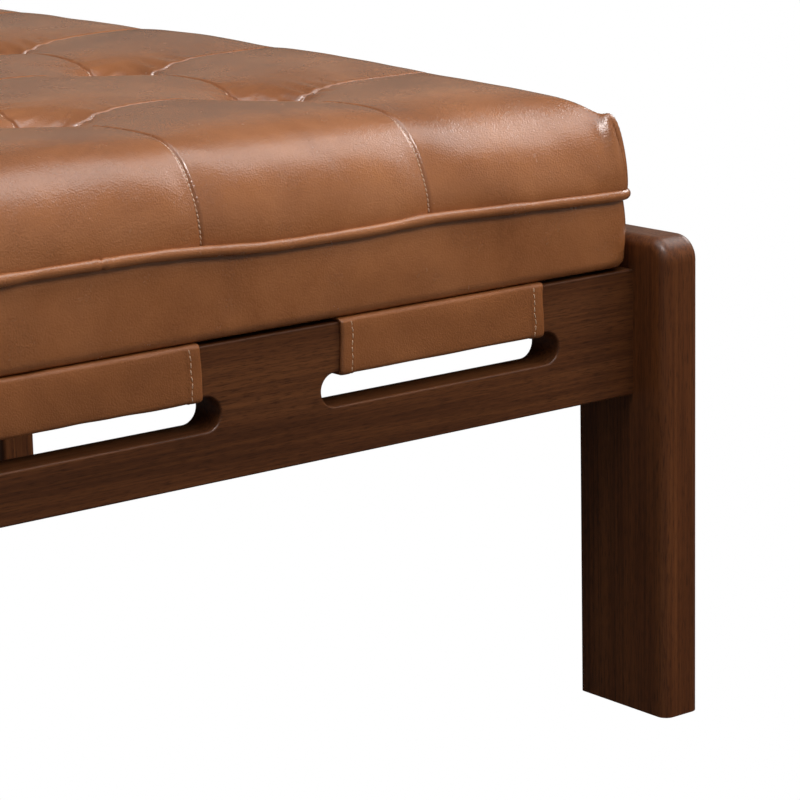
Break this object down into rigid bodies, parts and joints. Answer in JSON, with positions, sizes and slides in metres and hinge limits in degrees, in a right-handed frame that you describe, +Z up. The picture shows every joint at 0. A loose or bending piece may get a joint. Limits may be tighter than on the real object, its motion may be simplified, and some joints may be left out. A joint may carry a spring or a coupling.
{
  "type": "ottoman coffee table",
  "caption": "Square ottoman coffee table: slab wood legs, slotted rails wrapped with leather straps, and a thick biscuit-tufted leather cushion top with a welt.",
  "frame": {"origin": "on the floor, at the centre of the square plan", "axes": "+Z up, X along the front rail, the front faces -Y"},
  "size_m": [1.016, 1.016, 0.4733],
  "materials": {
    "stained_wood": "dark walnut stain under satin lacquer",
    "frame_wood": "planed, unstained",
    "plywood": "sanded plywood",
    "cushion_leather": "caramel leather, semi-gloss, lightly mottled",
    "strap_leather": "caramel leather, stitched edges",
    "foam": "open-cell foam",
    "cord": "twisted twine",
    "cover_cloth": "black non-woven cloth",
    "felt": "pressed felt",
    "zinc_steel": "zinc plated",
    "brass_insert": "plain brass"
  },
  "bodies": {
    "root": {"back_bracket_1": "zinc_steel", "back_bracket_2": "zinc_steel", "back_rail": "stained_wood", "back_strap_1": "strap_leather", "back_strap_2": "strap_leather", "back_strap_3": "strap_leather", "batten_1": "frame_wood", "batten_2": "frame_wood", "batten_screws": "zinc_steel", "block_screws": "zinc_steel", "bolt_washers": "zinc_steel", "boxing_band": "cushion_leather", "bracket_screws": "zinc_steel", "corner_block_back_left": "frame_wood", "corner_block_back_right": "frame_wood", "corner_block_front_left": "frame_wood", "corner_block_front_right": "frame_wood", "dust_cover": "cover_cloth", "foam_core": "foam", "foot_pad_back_left": "felt", "foot_pad_back_right": "felt", "foot_pad_front_left": "felt", "foot_pad_front_right": "felt", "front_bracket_1": "zinc_steel", "front_bracket_2": "zinc_steel", "front_rail": "stained_wood", "front_strap_1": "strap_leather", "front_strap_2": "strap_leather", "front_strap_3": "strap_leather", "ledger_left": "frame_wood", "ledger_right": "frame_wood", "ledger_screws": "zinc_steel", "leg_back_left": "stained_wood", "leg_back_right": "stained_wood", "leg_bolts": "zinc_steel", "leg_front_left": "stained_wood", "leg_front_right": "stained_wood", "leg_inserts": "brass_insert", "quilted_top": "cushion_leather", "rail_dowels": "frame_wood", "seat_panel": "plywood", "side_rail_left": "stained_wood", "side_rail_right": "stained_wood", "tie_cords": "cord", "welt": "cushion_leather"}
  },
  "joints": []
}
